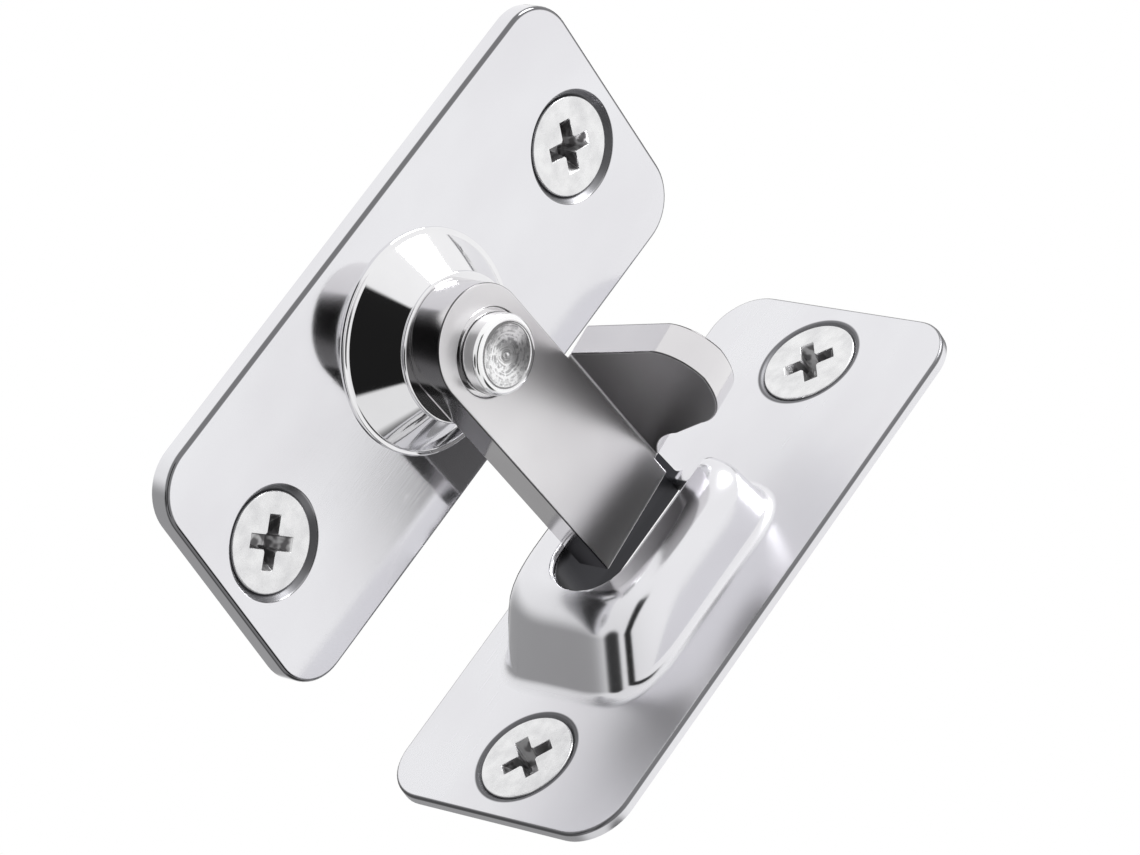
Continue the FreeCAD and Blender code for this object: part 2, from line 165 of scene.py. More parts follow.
def finish_edges(piece, radius, steps=3, angle=40):
    """Break the sharp edges and shade the piece as one smooth surface."""
    take(piece)
    bpy.ops.object.mode_set(mode="EDIT")
    bpy.ops.mesh.select_all(action="SELECT")
    bpy.ops.mesh.remove_doubles(threshold=0.01 * MM)
    bpy.ops.object.mode_set(mode="OBJECT")
    soft = piece.modifiers.new("broken_edges", "BEVEL")
    soft.width = radius * MM
    soft.segments = steps
    soft.limit_method = "ANGLE"
    soft.angle_limit = math.radians(angle)
    soft.use_clamp_overlap = False
    bpy.ops.object.modifier_apply(modifier=soft.name)
    smooth(piece)


def smooth(piece):
    """Shade smooth across soft angles, led by the large faces."""
    take(piece)
    bpy.ops.object.shade_smooth_by_angle(angle=SOFT_ANGLE)
    even = piece.modifiers.new("even_faces", "WEIGHTED_NORMAL")
    even.keep_sharp = True
    bpy.ops.object.modifier_apply(modifier=even.name)


def quarter_round(radius, height, edge, steps=4):
    """Rings that round a top edge of a turned piece inwards."""
    turns = [math.pi / 2 * i / steps for i in range(steps + 1)]
    return [(radius - edge + edge * math.cos(a), height - edge + edge * math.sin(a)) for a in turns]


OUT_OF_BOLT_PLATE = Matrix.Rotation(math.radians(90), 4, "X")
OUT_OF_KEEPER = Matrix.Rotation(math.radians(-90), 4, "Y")


# ------------------------------------------------------- sizes from the frame

def box_mm(node):
    """A node's lowest and highest corners at rest, in millimetres."""
    low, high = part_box(node)
    return low / MM, high / MM


plate_low, plate_high = box_mm("bolt_plate")
post_low, post_high = box_mm("pivot_post")
washer_low, washer_high = box_mm("friction_washer")
rivet_low, rivet_high = box_mm("pivot_rivet")
keeper_low, keeper_high = box_mm("keeper_plate")

# Both plates: their faces and middles, and the radius of their countersinks.
PLATE_CORNER = 4.2
HOLE_END = 6.0
HOLE_UP = plate_high.z - HOLE_END
BOLT_FACE = -plate_low.y
KEEPER_THICK = 1.0
KEEPER_FACE = keeper_high.x - KEEPER_THICK
KEEPER_OUT = (keeper_low.y + keeper_high.y) / 2
KEEPER_UP = (keeper_low.z + keeper_high.z) / 2
BOLT_SINK, KEEPER_SINK = 4.7, 4.4

# The keeper's pocket: half width, reach down and reach up at its foot, and how
# much its draft takes off each by the crest. Then its roundings.
POCKET_MIDDLE = KEEPER_OUT + 1.15
POCKET_FOOT, POCKET_DRAFT = (8.3, 15.1, 8.0), (0.6, 4.5, 0.8)
POCKET_CORNER, POCKET_CREST, POCKET_ROOT = 6.2, 2.2, 0.8
HOLLOW_CORNER, HOLLOW_CREST, HOLLOW_MOUTH = 5.4, 1.2, 0.18
SQUARE_ROUND = 0.66      # the bevel's shape at the pocket's corners

# The slot: half its width, its reach down and up, its rim's rounding, and the
# sleeve of metal that is turned in around it.
SLOT_HALF, SLOT_LOW, SLOT_UP, SLOT_RIM = 3.7, 8.7, 9.0, 0.5
SLEEVE_WALL, SLEEVE_GAP = 0.8, 0.02

# The bar and its thumb tab, at the place where the bar lies level.
BAR_BACK, BAR_FRONT, BAR_HALF, BAR_REACH = -5.8, -9.1, 4.9, 22.9
BAR_LIFT = math.radians(6)
TAB_UNDER, TAB_TOP = 5.2, 8.1

# The screws: head, rim and threads, and how deep the heads lie in the bolt plate.
SCREW_HEAD, SCREW_RIM = 4.1, 0.3
SCREW_SHANK, SCREW_CORE, SCREW_TIP, SCREW_PITCH, SCREW_TURNS = 2.1, 1.6, 3.4, 1.4, 5
SCREW_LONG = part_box("lower_keeper_screw")[1].x / MM - KEEPER_FACE
BOLT_HEAD_DEEP = BOLT_SINK - SCREW_HEAD - SCREW_RIM


# ------------------------------------------------------------------- pieces

def rounded_plate(name, low, high, thin_axis, face, rim):
    """A plate with round corners and a slightly rounded face rim."""
    piece = block(name, low, high)
    round_edges(piece, PLATE_CORNER, 14, lambda c: along(c, thin_axis))
    round_edges(piece, rim, 3, lambda c: at(c, thin_axis, face))
    return piece


def countersink(radius, thick, turn, place):
    """A cone cutter that passes both faces of a plate."""
    past = 0.6
    rings = [(radius - thick - past, -thick - past), (radius + past, past)]
    tool = turned("countersink", rings, TOOL_TURN)
    stand(tool, turn, place)
    return tool


def make_bolt_plate():
    """A plate with two countersinks, and a recess behind for the rivet's tail."""
    face_rim, tail_turn = 0.35, 64
    plate = rounded_plate("polished_bolt_plate", plate_low, plate_high, 1, plate_low.y, face_rim)
    for up in (-HOLE_UP, HOLE_UP):
        tool = countersink(BOLT_SINK, BOLT_FACE, OUT_OF_BOLT_PLATE, (0, plate_low.y, up))
        boolean(plate, tool, "DIFFERENCE")
    tail_rings = [(2.9, -0.3), (2.6, 0.0), (1.9, 0.7), (1.9, 2.4)]
    tail_bore = turned("tail_bore", tail_rings, tail_turn)
    stand(tail_bore, OUT_OF_BOLT_PLATE, (0, 0, 0))
    boolean(plate, tail_bore, "DIFFERENCE")
    finish_edges(plate, 0.06, 2)
    return plate


def make_pivot_post():
    """A cone on a thin foot, filleted where they meet, with a rolled top edge."""
    foot, lip, high = post_high.x, 0.26, post_high.y - post_low.y
    rings = [(foot, 0.0)] + quarter_round(foot, lip, 0.14)
    rings += [(foot - 0.3, lip), (foot - 0.42, lip + 0.02), (foot - 0.54, lip + 0.1)]
    rings += [(5.95, high - 0.4), (5.86, high - 0.3), (5.72, high - 0.17), (5.5, high - 0.07),
              (5.2, high - 0.01), (4.9, high)]
    post = turned("polished_pivot_post", rings, FINEST_TURN)
    stand(post, OUT_OF_BOLT_PLATE, (0, -BOLT_FACE, 0))
    smooth(post)
    return post


def make_washer():
    """A washer with rolled edges."""
    wide, thick = washer_high.x, washer_high.y - washer_low.y
    rings = [(wide - 0.2, 0.0), (wide - 0.06, 0.06), (wide - 0.005, 0.16), (wide, thick / 2),
             (wide - 0.005, thick - 0.16), (wide - 0.06, thick - 0.06), (wide - 0.2, thick)]
    washer = turned("thin_pivot_washer", rings, FINEST_TURN)
    stand(washer, OUT_OF_BOLT_PLATE, (0, washer_high.y, 0))
    smooth(washer)
    return washer


def make_rivet():
    """The rivet's head keeps the faint rings of its turning."""
    head, top = rivet_high.x, -rivet_low.y
    tail, shaft, seat, head_round = 2.5, 1.9, 8.85, 0.55
    rings = [(tail, -rivet_high.y), (shaft, 0.7), (shaft, seat), (head, seat)]
    rings += quarter_round(head, top, head_round, 6)
    ring_marks = [(2.6, -0.02), (2.45, -0.05), (2.3, -0.02), (2.1, -0.06), (1.95, -0.02),
                  (1.7, -0.07), (1.55, -0.02), (1.3, -0.07), (1.15, -0.02), (0.9, -0.08),
                  (0.75, -0.03), (0.5, -0.09), (0.3, -0.05), (0.12, -0.08)]
    rings += [(radius, top + deep) for radius, deep in ring_marks]
    rivet = turned("bright_pivot_rivet", rings)
    stand(rivet, OUT_OF_BOLT_PLATE, (0, 0, 0))
    smooth(rivet)
    return rivet


def bowed(start, stop, radius, side, steps=18):
    """Points on an arc between two spots; a positive side bows to the right."""
    start, stop = Vector(start), Vector(stop)
    chord = stop - start
    half = chord.length / 2
    right = Vector((chord.y, -chord.x)).normalized()
    centre = (start + stop) / 2 - right * side * math.sqrt(radius * radius - half * half)
    first, last = start - centre, stop - centre
    sweep = first.angle_signed(last)
    return [centre + Matrix.Rotation(-sweep * i / steps, 2) @ first for i in range(1, steps)]


def flat_outline(name, spots, low, high):
    """A flat curve through the spots, filled, thickened and made a mesh."""
    settle()
    curve = bpy.data.curves.new(name, "CURVE")
    curve.dimensions = "2D"
    curve.fill_mode = "BOTH"
    curve.extrude = (high - low) / 2 * MM
    spline = curve.splines.new("POLY")
    spline.points.add(len(spots) - 1)
    for point, spot in zip(spline.points, spots):
        point.co = (spot[0] * MM, spot[1] * MM, 0, 1)
    spline.use_cyclic_u = True
    piece = bpy.data.objects.new(name, curve)
    bpy.context.collection.objects.link(piece)
    piece.location = (0, 0, (low + high) / 2 * MM)
    take(piece)
    bpy.ops.object.convert(target="MESH")
    piece = bpy.context.active_object
    fix_place(piece)
    bpy.ops.object.mode_set(mode="EDIT")
    bpy.ops.mesh.select_all(action="SELECT")
    bpy.ops.mesh.remove_doubles(threshold=SAME_SPOT)
    bpy.ops.mesh.dissolve_limited(angle_limit=0.01)
    bpy.ops.mesh.normals_make_consistent(inside=False)
    settle()
    return piece


def make_swing_bar():
    """A flat bar with one round end, and a thumb tab bent out of its edge."""
    end = -1.0 - BAR_HALF
    bar = block("brushed_swing_bar", (end, BAR_FRONT, -BAR_HALF), (BAR_REACH, BAR_BACK, BAR_HALF))
    round_edges(bar, BAR_HALF - 0.002, 28, lambda c: along(c, 1) and at(c, 0, end))

    root_near, root_far, lean, fold = 7.2, 21.0, 3.6, 2.4
    flange = flat_outline(
        "flange", [(root_near, BAR_FRONT), (root_far, BAR_FRONT), (root_far, BAR_BACK),
                   (root_near + lean, BAR_BACK)], BAR_HALF - 1.0, TAB_TOP)
    round_edges(flange, fold, 10, lambda c: (
        along(c, 0) and at(c, 1, BAR_BACK) and at(c, 2, TAB_TOP)))
    boolean(bar, flange, "UNION")

    # The tab's outline, as (along the bar, out from the bar's back).
    spots = [(root_near + 2.4, -1.65), (root_near, -3.3), (4.8, -13.9)]
    spots += bowed((4.8, -13.9), (7.6, -17.7), 3.4, 1) + [(7.6, -17.7)]
    spots += bowed((7.6, -17.7), (14.6, -12.6), 8.0, 1) + [(14.6, -12.6), (16.9, -8.3)]
    spots += bowed((16.9, -8.3), (root_far, -3.3), 8.0, -1) + [(root_far, -3.3), (root_far, -1.65)]
    tab = flat_outline("tab", [(x, y + BAR_BACK) for x, y in spots], TAB_UNDER, TAB_TOP)
    boolean(bar, tab, "UNION")

    seat, deep, past = 3.6, 0.25, 0.5
    sink = turned("head_sink", [(seat, -deep), (seat, past)], TOOL_TURN)
    stand(sink, OUT_OF_BOLT_PLATE, (0, BAR_FRONT, 0))
    boolean(bar, sink, "DIFFERENCE")
    finish_edges(bar, 0.14, 3)
    stand(bar, Matrix.Rotation(-BAR_LIFT, 4, "Y"), (0, 0, 0))
    return bar


def drawn_pocket(name, levels, foot, crest, corner, rim):
    """A tapered block with round corners and a round crest.

    The levels are the X of its foot and of its crest, and the foot and the crest
    give half width, reach down and reach up."""
    deep, high = levels
    low = (high, POCKET_MIDDLE - foot[0], KEEPER_UP - foot[1])
    top = (deep, POCKET_MIDDLE + foot[0], KEEPER_UP + foot[2])
    piece = block(name, low, top)
    choose(piece, "VERT", lambda c: at(c, 0, high))
    foot_tall, crest_tall = foot[1] + foot[2], crest[1] + crest[2]
    centre = (high * MM, POCKET_MIDDLE * MM, (KEEPER_UP + (foot[2] - foot[1]) / 2) * MM)
    bpy.ops.transform.resize(
        value=(1, crest[0] / foot[0], crest_tall / foot_tall), center_override=centre)
    rise = (crest[2] - crest[1]) / 2 - (foot[2] - foot[1]) / 2
    bpy.ops.transform.translate(value=(0, 0, rise * MM))
    settle()
    round_edges(piece, corner, 18, lambda c: not at(c, 0, deep) and not at(c, 0, high),
                SQUARE_ROUND)
    round_edges(piece, rim, 8, lambda c: at(c, 0, high))
    return piece


def horseshoe(name, first, last, half, reach_low, corner):
    """A block from one X to another, of the slot's outline, with a round lower end."""
    low_end = KEEPER_UP - reach_low
    piece = block(name, (first, POCKET_MIDDLE - half, low_end),
                  (last, POCKET_MIDDLE + half, KEEPER_UP + SLOT_UP + SLOT_RIM))
    round_edges(piece, corner, 20, lambda c: along(c, 0) and at(c, 2, low_end))
    return piece


def slot_lip(crest_x):
    """The sleeve of metal around the slot, turned in towards the plate's back."""
    half, low = SLOT_HALF + SLEEVE_GAP, SLOT_LOW + SLEEVE_GAP
    last = keeper_high.x - 0.05
    lip = horseshoe("slot_lip", crest_x - 1.0, last, half + SLEEVE_WALL, low + SLEEVE_WALL,
                    half + SLEEVE_WALL - 0.1)
    inside = horseshoe("lip_inside", crest_x - 2.0, last + 1.0, half, low, half - 0.1)
    boolean(lip, inside, "DIFFERENCE")
    return lip


def slot_cutter(crest_x):
    """A horseshoe cutter whose mouth flares, so the slot's rim comes out round."""
    wide = SLOT_HALF + SLOT_RIM
    cutter = horseshoe(
        "slot_cutter", crest_x - 1.0, crest_x, wide, SLOT_LOW + SLOT_RIM, wide - 0.1)
    choose(cutter, "FACE", lambda c: at(c, 0, crest_x))
    steps = 6
    turns = [math.pi / 2 * i / steps for i in range(steps + 1)]
    for now, then in zip(turns, turns[1:]):
        bpy.ops.mesh.inset(thickness=SLOT_RIM * (math.sin(then) - math.sin(now)) * MM,
                           depth=SLOT_RIM * (math.cos(now) - math.cos(then)) * MM)
    deep = KEEPER_FACE - 0.02 - crest_x - SLOT_RIM
    bpy.ops.mesh.extrude_region_move(TRANSFORM_OT_translate={"value": (deep * MM, 0, 0)})
    settle()
    return cutter


def make_keeper():
    """A thin plate drawn into a hollow pocket that is slotted from its upper end."""
    face_rim, sink_rim = 0.25, 0.09
    low_corner = (KEEPER_FACE, keeper_low.y, keeper_low.z)
    keeper = rounded_plate("polished_keeper", low_corner, keeper_high, 0, KEEPER_FACE, face_rim)
    crest_x = keeper_low.x
    tall = KEEPER_FACE - crest_x
    slopes = [less / tall for less in POCKET_DRAFT]

    def outside(height, wall=0.0):
        """The pocket's half width, reach down and reach up at a height off the plate."""
        return [foot - slope * height - wall * math.sqrt(1 + slope * slope)
                for foot, slope in zip(POCKET_FOOT, slopes)]

    def by_pocket(corners, level):
        """True if all the corners lie at one X, in a rectangle just around the pocket."""
        half, down, up = (foot + 0.3 for foot in POCKET_FOOT)
        return at(corners, 0, level) and all(
            abs(p.y - POCKET_MIDDLE) < half and -down < p.z - KEEPER_UP < up for p in corners)

    # Both blocks start below the face: inside the plate, and past its back.
    root, below = -0.4, -KEEPER_THICK - 0.5
    hat = drawn_pocket("pocket", (KEEPER_FACE - root, crest_x), outside(root), outside(tall),
                       POCKET_CORNER, POCKET_CREST)
    boolean(keeper, hat, "UNION")
    round_edges(keeper, POCKET_ROOT, 5, lambda c: by_pocket(c, KEEPER_FACE))
    hollow = drawn_pocket(
        "hollow", (KEEPER_FACE - below, crest_x + KEEPER_THICK), outside(below, KEEPER_THICK),
        outside(tall - KEEPER_THICK, KEEPER_THICK), HOLLOW_CORNER, HOLLOW_CREST)
    boolean(hollow, slot_lip(crest_x), "DIFFERENCE")
    boolean(keeper, hollow, "DIFFERENCE")
    boolean(keeper, slot_cutter(crest_x), "DIFFERENCE")
    sinks = (KEEPER_UP - HOLE_UP, KEEPER_UP + HOLE_UP)
    for up in sinks:
        place = (KEEPER_FACE, KEEPER_OUT, up)
        boolean(keeper, countersink(KEEPER_SINK, KEEPER_THICK, OUT_OF_KEEPER, place), "DIFFERENCE")
    round_edges(keeper, sink_rim, 3, lambda c: at(c, 0, KEEPER_FACE) and any(
        all(abs(math.hypot(p.y - KEEPER_OUT, p.z - up) - KEEPER_SINK) < 0.02 for p in c)
        for up in sinks))
    round_edges(keeper, HOLLOW_MOUTH, 3, lambda c: by_pocket(c, keeper_high.x))
    smooth(keeper)
    return keeper


def tapered_arm(reach, arm, floor_reach, floor_arm, deep, turn):
    """One straight arm of the driver recess, narrower at its floor."""
    past = 0.1
    tool = block("recess_arm", (-floor_reach, -floor_arm, -deep), (floor_reach, floor_arm, past))
    choose(tool, "VERT", lambda c: at(c, 2, past))
    bpy.ops.transform.resize(
        value=(reach / floor_reach, arm / floor_arm, 1), center_override=(0, 0, past * MM))
    stand(tool, Matrix.Rotation(math.radians(turn), 4, "Z"), (0, 0, 0))
    return tool


def thread_ridge(root, crest, pitch, low, turns):
    """A right-handed helical ridge about +Z that winds up from its low end."""
    settle()
    half = pitch * 0.36
    crest_share = 0.12
    bpy.ops.mesh.primitive_plane_add(
        size=1, location=((root + crest) / 2 * MM, 0, low * MM), rotation=(math.radians(90), 0, 0))
    ridge = bpy.context.active_object
    ridge.name = "thread_ridge"
    ridge.scale = ((crest - root) * MM, half * 2 * MM, 1)
    fix_place(ridge)
    choose(ridge, "VERT", lambda c: at(c, 0, crest))
    bpy.ops.transform.resize(
        value=(1, 1, crest_share), center_override=(crest * MM, 0, low * MM))
    settle()
    wind = ridge.modifiers.new("wind", "SCREW")
    wind.angle = math.radians(360)
    wind.screw_offset = pitch * MM
    wind.iterations = turns
    wind.steps = wind.render_steps = 40
    wind.use_merge_vertices = True
    bpy.ops.object.modifier_apply(modifier=wind.name)
    bpy.ops.object.mode_set(mode="EDIT")
    bpy.ops.mesh.select_all(action="SELECT")
    bpy.ops.mesh.fill_holes(sides=4)
    bpy.ops.mesh.normals_make_consistent(inside=False)
    settle()
    return ridge


def make_screw():
    """A countersunk self-tapping screw with a cross recess, head up."""
    shank, core = SCREW_SHANK, SCREW_CORE
    cone_end, tip_end = -SCREW_RIM - (SCREW_HEAD - shank), SCREW_TIP - SCREW_LONG
    rings = [(0.12, -SCREW_LONG), (core - 0.15, tip_end), (core, tip_end + 0.5),
             (core, cone_end - 0.5), (shank - 0.1, cone_end - 0.1),
             (shank + 0.1, cone_end + 0.15), (SCREW_HEAD, -SCREW_RIM)]
    rings += quarter_round(SCREW_HEAD, 0.0, 0.14, 4)
    screw = turned("countersunk_screw", rings, TOOL_TURN)
    for turn in (0, 90):
        boolean(screw, tapered_arm(2.3, 0.6, 1.0, 0.4, 2.0, turn), "DIFFERENCE")
    boolean(screw, tapered_arm(0.98, 0.98, 0.6, 0.6, 1.7, 45), "DIFFERENCE")
    ridge = thread_ridge(core - 0.1, shank, SCREW_PITCH, 0.6 - SCREW_LONG, SCREW_TURNS)
    steps, thinnest = 10, 0.35
    for step in range(steps):
        level = SCREW_TIP * (1 - step / steps)
        slim = max(level - SCREW_TIP / steps, thinnest) / level
        choose(ridge, "VERT", lambda c: c[0].z + SCREW_LONG < level)
        bpy.ops.transform.resize(value=(slim, slim, 1), center_override=(0, 0, 0))
        settle()
    take(screw)
    ridge.select_set(True)
    bpy.ops.object.join()
    finish_edges(screw, 0.05, 2)
    mark_recess(screw)
    return screw


def mark_recess(screw):
    """Note on each corner of a face how deep it lies in the recess, for the finish's painted shade.
    """
    floor, rim, reach, taper, deepest = -2.2, -0.07, 2.32, 0.3, 1.0
    depth = screw.data.attributes.new("recess_depth", "FLOAT", "POINT")
    for vertex, value in zip(screw.data.vertices, depth.data):
        spot = vertex.co / MM
        from_axis = math.hypot(spot.x, spot.y)
        inside = floor < spot.z < rim and from_axis < reach + spot.z * taper
        value.value = min(-spot.z, deepest) if inside else 0.0


def place_screws():
    """One screw in each plate hole, each stopped at its own turn of the driver."""
    pattern = make_screw()
    stops = {
        "lower_bolt_screw": (37, OUT_OF_BOLT_PLATE, (0, BOLT_HEAD_DEEP - BOLT_FACE, -HOLE_UP)),
        "upper_bolt_screw": (65, OUT_OF_BOLT_PLATE, (0, BOLT_HEAD_DEEP - BOLT_FACE, HOLE_UP)),
        "lower_keeper_screw": (50, OUT_OF_KEEPER, (KEEPER_FACE, KEEPER_OUT, KEEPER_UP - HOLE_UP)),
        "upper_keeper_screw": (40, OUT_OF_KEEPER, (KEEPER_FACE, KEEPER_OUT, KEEPER_UP + HOLE_UP)),
    }
    screws = {}
    for node, (turn, out, place) in stops.items():
        screw = bpy.data.objects.new("fitted_" + node, pattern.data.copy())
        bpy.context.collection.objects.link(screw)
        stand(screw, out @ Matrix.Rotation(math.radians(turn), 4, "Z"), place)
        screws[node] = screw
    bpy.data.objects.remove(pattern, do_unlink=True)
    return screws


# ---------------------------------------------------------------- materials

class Value:
    """A shader socket that takes part in sums."""

    def __init__(self, tree, socket):
        self.tree, self.socket = tree, socket

    def sum_with(self, operation, first, second):
        return self.tree.node("ShaderNodeMath", {"operation": operation}, {0: first, 1: second})

    def output(self, name):
        """Another output of the same node."""
        return Value(self.tree, self.socket.node.outputs[name])

    def __add__(self, other):
        return self.sum_with("ADD", self, other)

    def __sub__(self, other):
        return self.sum_with("SUBTRACT", self, other)

    def __rsub__(self, other):
        return self.sum_with("SUBTRACT", other, self)

    def __mul__(self, other):
        return self.sum_with("MULTIPLY", self, other)

    def __pow__(self, other):
        return self.sum_with("POWER", self, other)

    def __rpow__(self, other):
        return self.sum_with("POWER", other, self)

    __radd__ = __add__
    __rmul__ = __mul__


class NodeTree:
    """A material's or the world's nodes, made one by one."""

    def __init__(self, tree):
        self.tree = tree
        tree.nodes.clear()

    def node(self, kind, settings=None, inputs=None, output=0):
        """Add a node: its settings first, then the values or links of its sockets."""
        made = self.tree.nodes.new(kind)
        for name, value in (settings or {}).items():
            if name == "stops":
                while len(made.color_ramp.elements) < len(value):
                    made.color_ramp.elements.new(0.5)
                for element, (place, grey) in zip(made.color_ramp.elements, value):
                    element.position, element.color = place, (grey, grey, grey, 1)
            else:
                setattr(made, name, value)
        for name, value in (inputs or {}).items():
            if isinstance(value, Value):
                self.tree.links.new(value.socket, made.inputs[name])
            else:
                made.inputs[name].default_value = value
        return Value(self, made.outputs[output]) if made.outputs else made

    def ramp(self, value, *stops):
        """A grey ramp with (place, grey) stops."""
        return self.node("ShaderNodeValToRGB", {"stops": stops}, {"Fac": value})

    def mix(self, share, first, second):
        """A blend of two colours."""
        return self.node("ShaderNodeMix", {"data_type": "RGBA"}, {0: share, 6: first, 7: second}, 2)

    def fade(self, value, start, end):
        """0 up to the start, 1 from the end on, and smooth between them."""
        return self.node("ShaderNodeMapRange", {"interpolation_type": "SMOOTHSTEP"}, {
            "Value": value, "From Min": start, "From Max": end})

    def split(self, vector):
        """The three parts of a vector."""
        parts = self.node("ShaderNodeSeparateXYZ", {}, {"Vector": vector})
        return parts, parts.output("Y"), parts.output("Z")


class Steel(NodeTree):
    """A steel surface, laid out in millimetres on the object."""

    def __init__(self, name):
        self.material = bpy.data.materials.new(name)
        self.material.use_nodes = True
        super().__init__(self.material.node_tree)
        spot = self.node("ShaderNodeTexCoord", output=3)
        self.spot = self.node(
            "ShaderNodeVectorMath", {"operation": "SCALE"}, {0: spot, "Scale": 1 / MM})
        self.x, self.y, self.z = self.split(self.spot)

    def noise(self, scale, stretch=(1, 1, 1), detail=3.0, rough=0.5):
        """Grey noise over the surface, drawn out along the axes with a small stretch."""
        spot = self.node("ShaderNodeMapping", {}, {"Vector": self.spot, "Scale": stretch})
        return self.node("ShaderNodeTexNoise", {}, {
            "Vector": spot, "Scale": scale, "Detail": detail, "Roughness": rough})

    def away(self, across, up):
        """The distance from an axis, given both offsets from it."""
        return (across * across + up * up) ** 0.5

    def rings(self, distance, scale):
        """Turning marks: noise that changes only with the distance from an axis."""
        return self.node("ShaderNodeTexNoise", {"noise_dimensions": "1D"}, {
            "W": distance, "Scale": scale, "Detail": 2.0})

    def finish(self, colour, rough, height, bump):
        """Join the maps to a metal shader and the output."""
        normal = self.node("ShaderNodeBump", {}, {
            "Height": height, "Strength": bump, "Distance": BUMP_DEPTH})
        shader = self.node("ShaderNodeBsdfPrincipled", {}, {
            "Base Color": colour, "Metallic": 1.0, "Roughness": rough, "Normal": normal})
        self.node("ShaderNodeOutputMaterial", {}, {"Surface": shader})
        return self.material


def slot_walls(steel):
    """The walls of the keeper's slot, from below its rounded rim, where they are painted dark as
    shade and made rougher.
    """
    crest = keeper_low.x
    side = steel.node("ShaderNodeMath", {"operation": "ABSOLUTE"}, {0: steel.y - POCKET_MIDDLE})
    up = steel.z - KEEPER_UP
    walls = steel.fade(steel.x, crest + 0.3, crest + 0.6) * (
        1 - steel.fade(side, SLOT_HALF + 0.1, SLOT_HALF + 0.2))
    on_plate = steel.fade(steel.x, KEEPER_FACE - 0.3, KEEPER_FACE - 0.1) * steel.fade(up, 7.4, 7.6)
    return walls * steel.fade(up, -SLOT_LOW - 0.2, -SLOT_LOW - 0.1) * (1 - on_plate)


def plate_steel(name, middle, keeper):
    """Bright rolled sheet with rolling lines, soft smears, countersinks painted dark as shade and
    rims painted with a dark reflection.

    The keeper's flat is a little satin too, and the walls of its slot are painted dark as shade."""
    bright, smeared, countersink_shade = (0.82, 0.82, 0.845, 1), (0.74, 0.73, 0.76, 1), (0.20, 0.20, 0.21, 1)
    rim_dark_reflection, slot_wall_shade = (0.07, 0.07, 0.075, 1), (0.05, 0.05, 0.055, 1)
    steel = Steel(name)
    lines = steel.noise(9.0, (1, 1, 0.02), 2.0)
    smears = steel.noise(0.09, (1, 1, 0.6), 3.0)
    scuffs = steel.noise(1.6, (1, 0.25, 1), 4.0, 0.6)
    if keeper:
        side, into, face, back = steel.y - KEEPER_OUT, steel.x, KEEPER_FACE, keeper_high.x
    else:
        side, into, face, back = steel.x, steel.y, -BOLT_FACE, plate_high.y

    def sink(up):
        """The cone of the countersink at one height."""
        return 1 - steel.fade(steel.away(side, steel.z - up), 4.55, 4.72)

    tone = steel.mix(steel.ramp(smears, (0.35, 0.0), (0.75, 0.8)), bright, smeared)
    sinks = sink(middle - HOLE_UP) + sink(middle + HOLE_UP)
    sinks = sinks * (1 - steel.fade(into, back - 0.06, back - 0.02))
    # painted shade: the countersinks are darkened as if shade filled them
    tone = steel.mix(sinks, tone, countersink_shade)
    # painted reflection: the rounded face rim is darkened as if it mirrored something dark
    rim = steel.fade(into, face + 0.004, face + 0.03)
    rim = rim * (1 - steel.fade(into, face + 0.26, face + 0.38))
    tone = steel.mix(rim * (1 - sinks) * 0.85, tone, rim_dark_reflection)
    rough = 0.05 + smears * 0.04 + lines * 0.02 + steel.fade(scuffs, 0.55, 0.8) * 0.03
    rough = rough + sinks * 0.28
    if keeper:
        walls = slot_walls(steel)
        # painted shade: the slot's walls are darkened as if in shadow
        tone = steel.mix(walls, tone, slot_wall_shade)
        flat = steel.fade(steel.x, KEEPER_FACE - 0.5, KEEPER_FACE - 0.05)
        rough = rough + walls * 0.2 + 0.07 + flat * 0.13
    return steel.finish(tone, rough, lines + smears * 0.2 + scuffs * 0.1, 0.025)


def mirror_steel():
    """Turned and buffed until it mirrors, with hair-fine turning rings."""
    bright, smeared = (0.88, 0.88, 0.89, 1), (0.80, 0.795, 0.81, 1)
    steel = Steel("mirror_turned_steel")
    marks = steel.rings(steel.away(steel.x, steel.z), 14.0)
    smears = steel.noise(0.3, (1, 1, 1), 3.0)
    tone = steel.mix(smears, bright, smeared)
    return steel.finish(tone, 0.03 + marks * 0.02 + smears * 0.03, marks, 0.02)


def rivet_steel():
    """The rivet's bright head with the dark swirl that its closing tool left."""
    bright, scored = (0.96, 0.96, 0.965, 1), (0.22, 0.22, 0.23, 1)
    steel = Steel("bright_rivet_steel")
    wander = steel.noise(0.55, (1, 1, 1), 2.0)
    out = steel.away(steel.x + (wander - 0.5) * 0.9, steel.z + (wander - 0.5) * 0.7)
    marks = steel.rings(out, 2.0)
    nicks = steel.noise(2.2, (1, 1, 1), 4.0)
    top = rivet_low.y
    face = (1 - steel.fade(steel.y, top + 0.05, top + 0.25)) * (1 - steel.fade(out, 2.35, 2.6))
    grooves = steel.ramp(marks, (0.40, 0.0), (0.45, 1.0), (0.49, 0.05), (0.56, 0.9), (0.61, 0.0))
    dark = face * grooves * steel.fade(nicks, 0.42, 0.58)
    tone = steel.mix(dark * 0.8, bright, scored)
    rough = 0.10 + face * 0.08 + nicks * 0.04
    return steel.finish(tone, rough, marks * face + nicks * 0.2, 0.12)


